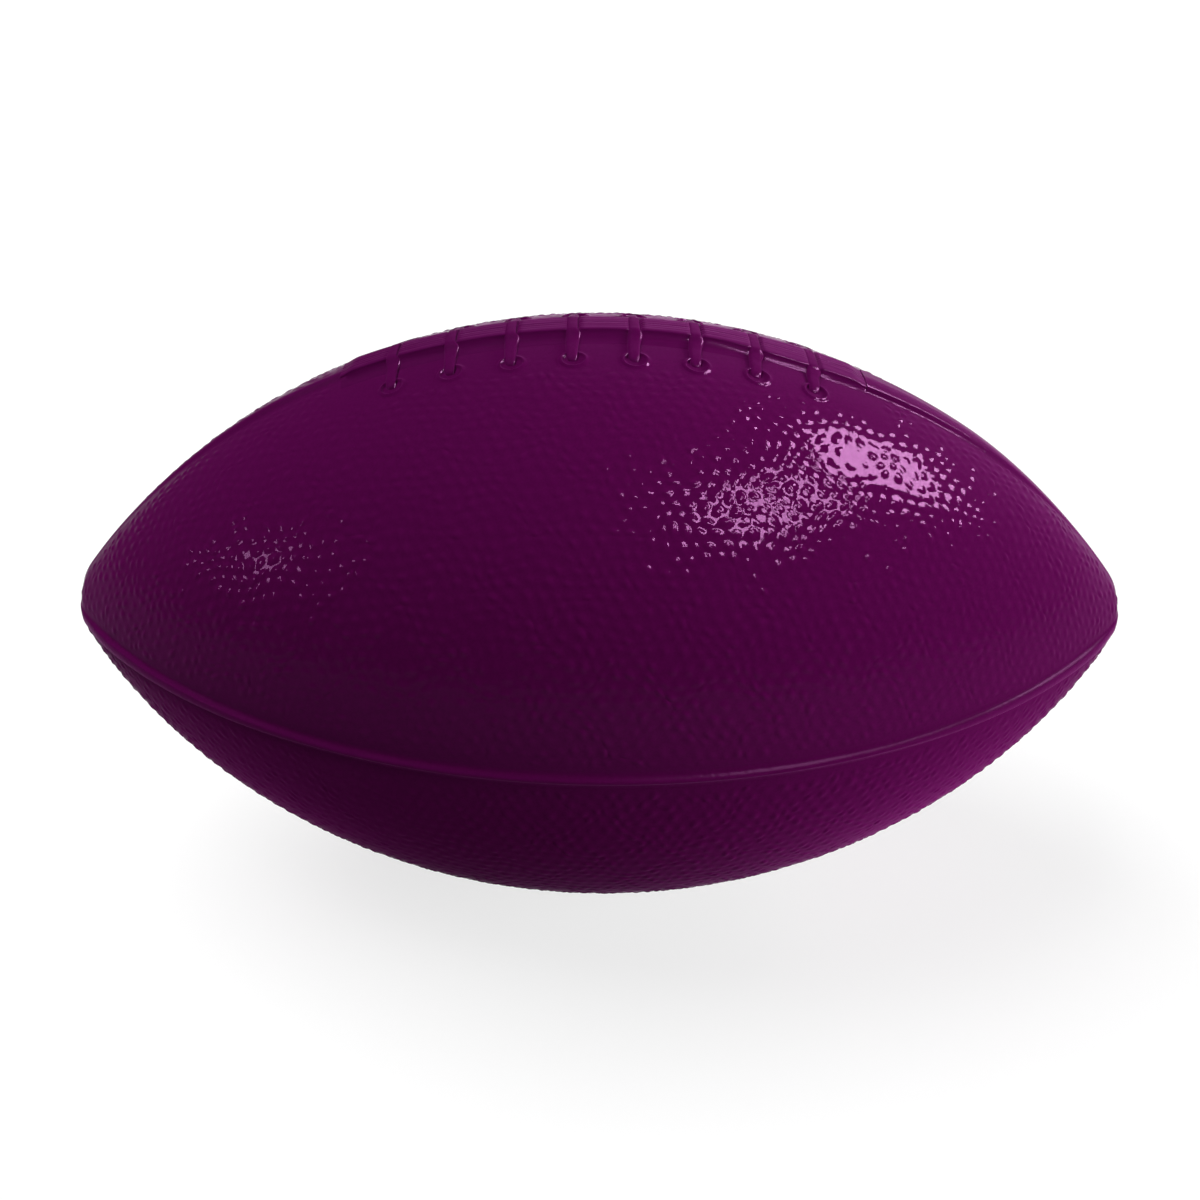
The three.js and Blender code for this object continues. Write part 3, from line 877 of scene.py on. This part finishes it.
print("spin steps:", FLANK_STEPS, "along the flank,", NOSE_STEPS, "round each nose")

# %% [markdown]
# ## The seam beads
# Over each joint lies a raised bead with a narrow crest and flanks that run out into the panels. Towards
# the tips it gets wider and sinks into the skin, and right of the lacing it is a wide flat ridge. All
# beads are spun from one section, and small tables of widths give each its own form. The stem below the
# section sits in the joint.

# %% Section of the beads
# Distance across and height above the skin, in mm.
BEAD_FLANK = [
    (-1.45, -0.06), (-1.10, 0.00), (-0.80, 0.04), (-0.62, 0.13), (-0.45, 0.36), (-0.28, 0.60), (-0.15, 0.68),
]
BEAD_CREST = (0.0, 0.70)
BEAD_STEM = [(1.0, -0.2), (0.9, -1.5), (-0.9, -1.5), (-1.0, -0.2)]
SECTION_CREST = 0.15 * MM
SECTION_FOOT = 1.10 * MM
STEM_TOP = -0.1 * MM
BEAD_TIP_SHARE = 0.2
# Places along the ball at which the half widths of crest and foot are given, in mm.
WIDTH_PLACES = (36, 53, 68)


def bead_section():
    other_flank = [(-across, height) for across, height in reversed(BEAD_FLANK)]
    outline = BEAD_FLANK + [BEAD_CREST] + other_flank + BEAD_STEM
    return [(across * MM, height * MM) for across, height in outline]


def form_bead(bm, sink, crests, feet):
    """Gives a bead its width along the ball and lets it sink into the skin towards the tips."""
    def there(lean, height, across):
        along = abs(skin(lean)[0]) / MM
        crest = np.interp(along, WIDTH_PLACES, crests) * MM
        foot = np.interp(along, WIDTH_PLACES, feet) * MM
        if height > 0:
            height *= 1 - (1 - BEAD_TIP_SHARE) * fade(along, sink)
        if height > STEM_TOP:
            wide = np.interp(abs(across), (0, SECTION_CREST, SECTION_FOOT), (0, crest, foot))
            wide += max(abs(across) - SECTION_FOOT, 0)
            across = math.copysign(wide, across)
        return height, across
    reshape(bm, there)


print("bead section:", len(bead_section()), "points")

# %% Make the beads
TIP_GAP_LEAN = math.radians(0.8)
SIDE_STOP_LEAN = math.radians(8.2)
LACING_GAP = 0.1 * MM
# Band in which a bead sinks, half widths of its crest and of its foot, in mm, and its finish.
SIDE_BEAD = ((68, 77), (0.15, 0.50, 0.70), (1.1, 1.3, 1.4), bead_vinyl)
LEFT_BEAD = ((44, 68), (0.40, 0.40, 0.30), (2.2, 2.2, 1.6), top_bead_vinyl)
RIGHT_RIDGE = ((50, 70), (3.00, 1.60, 0.60), (3.5, 3.5, 2.0), top_bead_vinyl)

tip_lean = math.pi / 2 - TIP_GAP_LEAN
side_stop = math.pi / 2 - SIDE_STOP_LEAN
lacing_end = lean_at(lace_half_length + LACING_GAP)
BEADS = [
    ("front", "front_seam_strip", -side_stop, side_stop, math.pi / 2, SIDE_BEAD),
    ("rear", "rear_seam_strip", -side_stop, side_stop, -math.pi / 2, SIDE_BEAD),
    ("bottom", "bottom_seam_strip", -tip_lean, tip_lean, math.pi, SIDE_BEAD),
    ("top_left", "top_seam_strip_left", -tip_lean, -lacing_end, 0, LEFT_BEAD),
    ("top_right", "top_seam_strip_right", lacing_end, tip_lean, 0, RIGHT_RIDGE),
]

for name, node, left, right, turn, (sink, crests, feet, material) in BEADS:
    bead = spin_along(bead_section(), left, right)
    form_bead(bead, sink, crests, feet)
    bmesh.ops.rotate(bead, verts=bead.verts, cent=(0, 0, 0), matrix=Matrix.Rotation(turn, 3, "X"))
    finish_piece(bead, f"bead_{name}", node, material)

# %% [markdown]
# ## The lace strands
# Two flat strands lie side by side along the top joint, under the cross laces. They have fine lengthwise
# ribs, a wall that slopes outwards, and a thin foot on the skin, and the section is drawn with all of
# them. It is spun like a bead, with square ends.

# %% Section of a strand
STRAND_INNER = 0.02 * MM
STRAND_WIDTH = 2.42 * MM
STRAND_TOP = 1.28 * MM
STRAND_ROUND = 0.28 * MM
STRAND_INNER_ROUND = 0.06 * MM
STRAND_RIB = 0.025 * MM
STRAND_DRAFT = 0.85 * MM
STRAND_FOOT = 1.10 * MM
STRAND_FOOT_HEIGHT = 0.30 * MM
STRAND_FILLET = 0.06 * MM
STRAND_FILLET_WIDTH = 0.10 * MM
STRAND_SUNK = 0.05 * MM
STRAND_STEPS = 360
RIB_COUNT = 3
RIB_POINTS = 19
CORNER_POINTS = 5
# A point low on the wall keeps its shading flat: share of the draft, and of the wall's height.
WALL_SUPPORT = (0.88, 0.12)
# The foot's bend: share of its width, and of its height.
FOOT_BEND = (0.5, 0.55)


def strand_section(side):
    share = np.linspace(0, 1, RIB_POINTS)
    top = STRAND_TOP - STRAND_RIB * (1 + np.cos(2 * math.pi * RIB_COUNT * share)) / 2
    edge = STRAND_TOP - STRAND_RIB
    turns = np.linspace(0, math.pi / 2, CORNER_POINTS)[:-1]
    corner = [(1 - math.cos(a), math.sin(a) - 1) for a in turns]
    left = [(a * STRAND_INNER_ROUND, edge + h * STRAND_INNER_ROUND) for a, h in corner]
    flat_width = STRAND_WIDTH - STRAND_INNER_ROUND - STRAND_ROUND
    flat = [(STRAND_INNER_ROUND + flat_width * t, h) for t, h in zip(share, top)]
    right = [(STRAND_WIDTH - a * STRAND_ROUND, edge + h * STRAND_ROUND) for a, h in reversed(corner)]
    wall_foot = STRAND_WIDTH + STRAND_DRAFT
    wall_low = STRAND_FOOT_HEIGHT + STRAND_FILLET
    wall_high = edge - STRAND_ROUND
    foot = [
        (STRAND_WIDTH + STRAND_DRAFT * WALL_SUPPORT[0], wall_low + WALL_SUPPORT[1] * (wall_high - wall_low)),
        (wall_foot, wall_low),
        (wall_foot + STRAND_FILLET_WIDTH, STRAND_FOOT_HEIGHT),
        (wall_foot + STRAND_FOOT * FOOT_BEND[0], STRAND_FOOT_HEIGHT * FOOT_BEND[1]),
        (wall_foot + STRAND_FOOT, -STRAND_SUNK),
    ]
    outline = [(0, -STRAND_SUNK)] + left + flat + right + foot
    return [(side * (STRAND_INNER + across), height) for across, height in outline]


print("strand section:", len(strand_section(1)), "points")

# %% [markdown]
# ## Laying the strands
# The laces are pulled tight, so the strands are pressed in under each of them. Their ends bend down, and
# towards the right they get lower and wider. It is sculpting with numbers: only vertices move.

# %% Make the strands
DENT_DEPTH = 0.36 * MM
DENT_HALF_WIDTH = 0.60 * MM
DENT_SLOPE = 0.25 * MM
STRAND_END_DROP = 0.3 * MM
STRAND_END_LENGTH = 2.2 * MM
RIGHT_DROP = 0.38 * MM
FLARE_WIDTH = 0.75 * MM
FLARE_BAND = (12 * MM, 27 * MM)
# Heights and distances across within which the pressing and the widening set in.
PRESS_HEIGHTS = (0.3 * MM, 1.0 * MM)
FLARE_ACROSS = (1.4 * MM, 2.3 * MM)
FOOT_MARGIN = 0.01 * MM


def flare(along):
    """Extra half width and loss of height of the lacing towards its right end."""
    share = fade(along, FLARE_BAND)
    return FLARE_WIDTH * share, RIGHT_DROP * share


def lay_strand(bm):
    """Presses a strand down under each cross lace and at its ends, and widens it to the right."""
    wall_top = STRAND_INNER + STRAND_WIDTH
    wall_foot = wall_top + STRAND_DRAFT
    end_band = (lace_half_length - STRAND_END_LENGTH, lace_half_length)

    def there(lean, height, across):
        along = skin(lean)[0]
        gap = min(abs(lean - plane.lean) for plane in lace_planes) * flank_radius
        dent = 1 - fade(gap, (DENT_HALF_WIDTH, DENT_HALF_WIDTH + DENT_SLOPE))
        end = fade(abs(lean) * flank_radius, end_band)
        wider, lower = flare(along)
        pressed = DENT_DEPTH * dent + STRAND_END_DROP * end + lower
        height -= pressed * fade(height, PRESS_HEIGHTS)
        sunk = fade(along, FLARE_BAND)
        if abs(across) > wall_foot + FOOT_MARGIN:
            height = height * (1 - sunk) - STRAND_SUNK * sunk
        elif abs(across) > wall_top:
            down_wall = (abs(across) - wall_top) / STRAND_DRAFT
            height -= sunk * down_wall * (STRAND_FOOT_HEIGHT + STRAND_FILLET + STRAND_SUNK)
        wider *= fade(abs(across), FLARE_ACROSS)
        return height, across + math.copysign(wider, across)
    reshape(bm, there)


strand_end = lean_at(lace_half_length)
for name, side in (("front", -1), ("rear", 1)):
    strand = spin_along(strand_section(side), -strand_end, strand_end, STRAND_STEPS)
    lay_strand(strand)
    finish_piece(strand, f"ribbed_strand_{name}", f"lace_strand_{name}", lace_vinyl)

# %% [markdown]
# ## The cross laces
# Eight straps go over the strands, down their walls to the skin and into the holes. A curve with a bevel
# would keep one width, but a strap spreads where it bends over the strand's edge, has a web to the wall on
# its right and narrows towards the hole. So an eight-cornered section is extruded along the path, a ring
# at a time, and a subdivision surface rounds it. The path is fitted to the strands below.

# %% Path of a strap
# Distance from the middle, height above the skin of what the strap lies on, half widths to the left and
# to the right, and depth of the foot, in mm.
STRAP_PATH = [
    (0.0, 0.92, 1.10, 0.62, 0.25), (1.3, 0.92, 1.10, 0.62, 0.25), (1.9, 0.92, 1.10, 0.66, 0.25),
    (2.2, 0.88, 1.10, 0.76, 0.30), (2.45, 0.77, 1.10, 0.92, 0.40), (2.7, 0.60, 1.12, 1.06, 0.45),
    (2.95, 0.45, 1.12, 1.08, 0.42), (3.25, 0.31, 1.12, 0.98, 0.35), (3.7, 0.19, 1.10, 0.84, 0.30),
    (4.3, 0.07, 1.10, 0.72, 0.27), (5.1, 0.02, 1.08, 0.66, 0.25), (6.3, 0.00, 1.06, 0.62, 0.22),
    (7.2, -0.02, 1.02, 0.60, 0.20),
    (7.8, -0.10, 0.92, 0.56, 0.20), (8.2, -0.30, 0.80, 0.50, 0.20), (8.4, -0.60, 0.66, 0.44, 0.20),
]
# Bands in which a wider strand pushes the path out and lets it come back, and a lower one takes it down.
PUSH_OUT = (1.4 * MM, 2.2 * MM)
COME_BACK = (3.7 * MM, 6.3 * MM)
LOWER_HEIGHTS = (0.1 * MM, 0.8 * MM)


def strap_stations(wider, lower):
    """The path in metres for both sides, fitted to strands that are wider and lower."""
    path = []
    for station in STRAP_PATH:
        distance, height, *rest = (value * MM for value in station)
        pushed = wider * (fade(distance, PUSH_OUT) - fade(distance, COME_BACK))
        lowered = lower * fade(height, LOWER_HEIGHTS)
        path.append((distance + pushed, height - lowered, *rest))
    return [(-distance, *rest) for distance, *rest in reversed(path[1:])] + path


print("rings of a strap:", len(strap_stations(0, 0)))

# %% Make the cross laces
STRAP_SUBDIVISION = 2
# Share of the half width across, and mm out from what the strap lies on. A foot corner is added at each end.
STRAP_CORNERS = [(0.95, 0.12), (0.77, 0.36), (0.38, 0.42), (-0.38, 0.42), (-0.77, 0.36), (-0.95, 0.12)]
STRAP_RELIEF = 0.5


def strap_ring(plane, middles, n, left, right, foot):
    """The corners of a strap at one station of its path."""
    before = middles[max(n - 1, 0)]
    after = middles[min(n + 1, len(middles) - 1)]
    outward = (after - before).normalized().cross(-plane.along).normalized()
    corners = [(1, -foot)] + [(share, out * MM) for share, out in STRAP_CORNERS] + [(-1, -foot)]
    return [
        middles[n] + plane.along * (share * (right if share > 0 else left)) + outward * out
        for share, out in corners
    ]


def cross_lace(number, plane):
    bm = bmesh.new()
    relief = bm.verts.layers.float.new("relief")
    stations = strap_stations(*flare(plane.foot.x))
    middles = [plane.point(distance, height) for distance, height, *_ in stations]
    ring = []
    for n, (_, _, left, right, foot) in enumerate(stations):
        places = strap_ring(plane, middles, n, left, right, foot)
        if ring:
            ring, edges = grow_ring(bm, ring, edges)
        else:
            ring = [bm.verts.new(place) for place in places]
            edges = [bm.edges.new(pair) for pair in zip(ring, ring[1:] + ring[:1])]
            bmesh.ops.edgeloop_fill(bm, edges=edges)
        for vertex, place in zip(ring, places):
            vertex.co = place
            vertex[relief] = STRAP_RELIEF
    bmesh.ops.edgeloop_fill(bm, edges=edges)
    strap = finish_piece(bm, f"lace_strap_{number}", f"cross_lace_{number}", strap_vinyl)
    rounding = strap.modifiers.new("rounding", "SUBSURF")
    rounding.levels = STRAP_SUBDIVISION
    rounding.render_levels = STRAP_SUBDIVISION


for number, plane in enumerate(lace_planes, start=1):
    cross_lace(number, plane)

# %% [markdown]
# ## The valve and its plug
# The photograph doesn't show the valve: it sits on the lower rear panel, as on other inflatable toys. It
# is a turned rubber stem with a seat, and a push-in plug that is pulled out to inflate the ball. Both
# are profiles spun about the valve's axis, as on a lathe, and a bevel rounds their sharp circles.

# %% Rubber and plug materials
RUBBER_COLOURS = {
    "Colour": (0.023, 0.003, 0.018, 1),
    "Hollow Colour": (0.012, 0.002, 0.010, 1),
    "Rubbed Colour": (0.045, 0.008, 0.036, 1),
}
FINE = {"sheen": 0.16, "patch_scale": 300}

valve_rubber = vinyl_material("valve_rubber", (0.40, 0.60), (2500, 0.02 * MM), colours=RUBBER_COLOURS, **FINE)
plug_plastic = vinyl_material("plug_plastic", (0.30, 0.45), (1800, 0.02 * MM), **FINE)

# %% Turn a profile
TURN_STEPS = 72
VALVE_BEVEL = 0.15 * MM
BEVEL_SEGMENTS = 3
BEVEL_ABOVE = math.radians(40)
SAME_PLACE = 0.01 * MM


def turned_sizes(node):
    """Distances along and off the valve axis of a solid's vertices."""
    places = np.array([v.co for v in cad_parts[node].data.vertices])
    axis = np.array(VALVE_AXIS)
    depth = places @ axis
    return depth, np.linalg.norm(places - np.outer(depth, axis), axis=1)


def turned_piece(profile):
    """Spins a profile of radius and depth about the valve axis, and rounds its sharp circles."""
    bm = bmesh.new()
    bm.verts.layers.float.new("relief")
    side = VALVE_AXIS.orthogonal().normalized()
    points = [bm.verts.new(VALVE_AXIS * depth + side * radius) for radius, depth in profile]
    closed = profile[0][0] > 0
    pairs = list(zip(points, points[1:])) + ([(points[-1], points[0])] if closed else [])
    edges = [bm.edges.new(pair) for pair in pairs]
    bmesh.ops.spin(
        bm, geom=points + edges, cent=(0, 0, 0), axis=VALVE_AXIS, angle=2 * math.pi, steps=TURN_STEPS,
        use_merge=True)
    bmesh.ops.remove_doubles(bm, verts=bm.verts, dist=1e-6)
    bmesh.ops.recalc_face_normals(bm, faces=bm.faces)
    sharp = [e for e in bm.edges if len(e.link_faces) == 2 and e.calc_face_angle(0) > BEVEL_ABOVE]
    bmesh.ops.bevel(
        bm, geom=sharp, offset=VALVE_BEVEL, offset_type="OFFSET", affect="EDGES", segments=BEVEL_SEGMENTS,
        profile=0.5, material=-1, clamp_overlap=True)
    return bm


print("valve axis:", [round(part, 3) for part in VALVE_AXIS])

# %% [markdown]
# ## Turning the stem and the plug
# Both profiles are measured on the solids, so that the fine pieces fit where the solids fit. The plug's
# head gets a shallow dimple of its own.

# %% Make the stem
depth, radius = turned_sizes("valve_housing")
stem_face, stem_end = depth.max(), depth.min()
bore_radius, flange_radius = radius.min(), radius.max()
at_face = radius[depth > stem_face - SAME_PLACE]
seat_radius, stem_radius = at_face.min(), at_face.max()
seat_floor = depth[radius < bore_radius + SAME_PLACE].max()
flange_depths = depth[radius > flange_radius - SAME_PLACE]
stem_profile = [
    (bore_radius, stem_end), (stem_radius, stem_end), (stem_radius, flange_depths.min()),
    (flange_radius, flange_depths.min()), (flange_radius, flange_depths.max()),
    (stem_radius, flange_depths.max()), (stem_radius, stem_face), (seat_radius, stem_face),
    (seat_radius, seat_floor), (bore_radius, seat_floor),
]
finish_piece(turned_piece(stem_profile), "turned_valve_stem", "valve_housing", valve_rubber)

# %% Make the plug
DIMPLE_RADIUS = 1.5 * MM
DIMPLE_DEPTH = 0.25 * MM

depth, radius = turned_sizes("valve_plug")
plug_depths = sorted({round(float(d), 6) for d in depth})
plug_tip, taper_end, head_under, head_edge, head_top = plug_depths


def plug_radius(level):
    return float(radius[np.abs(depth - level) < SAME_PLACE].max())


dimple = head_top - DIMPLE_DEPTH
plug_profile = [
    (0, plug_tip), (plug_radius(plug_tip), plug_tip), (plug_radius(taper_end), taper_end),
    (plug_radius(taper_end), head_under), (plug_radius(head_under), head_under),
    (plug_radius(head_edge), head_edge), (plug_radius(head_top), head_top),
    (DIMPLE_RADIUS, head_top), (DIMPLE_RADIUS - DIMPLE_DEPTH, dimple), (0, dimple),
]
finish_piece(turned_piece(plug_profile), "turned_valve_plug", "valve_plug", plug_plastic, body="plug")

# %% [markdown]
# ## Pieces inside the ball
# The carcass and the bladder never show while the ball is whole, and their solids already have the right
# shape, so they stay as they are and get a finish: wound thread in latex, and matt butyl rubber. The
# backing strip under the lacing is the same vinyl as the laces.

# %% Inner materials
BAND_WANDER = 3
BAND_RELIEF = 0.1 * MM


def inner_material(name, colour, second, roughness, band_scale):
    material, tree, surface = new_material(name)
    place = add_node(tree, "ShaderNodeTexCoord")
    waves = {"Vector": (place, "Object"), "Scale": band_scale, "Distortion": BAND_WANDER}
    bands = add_node(tree, "ShaderNodeTexWave", waves, bands_direction="DIAGONAL"), "Fac"
    mix = add_node(tree, "ShaderNodeMix", {"Factor": bands, "A": colour, "B": second}, data_type="RGBA")
    bump = add_node(tree, "ShaderNodeBump", {"Height": bands, "Distance": BAND_RELIEF})
    set_inputs(surface, {"Roughness": roughness, "Base Color": (mix, "Result"), "Normal": (bump, "Normal")})
    return material


def dress(node, material):
    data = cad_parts[node].data
    data.materials.clear()
    data.materials.append(material)
    print("dressed:", node)


dress("carcass", inner_material("wound_thread", (0.68, 0.64, 0.55, 1), (0.50, 0.46, 0.38, 1), 0.8, 900))
dress("bladder", inner_material("butyl_rubber", (0.012, 0.012, 0.013, 1), (0.02, 0.02, 0.021, 1), 0.65, 120))
dress("lace_backing_strip", lace_vinyl)
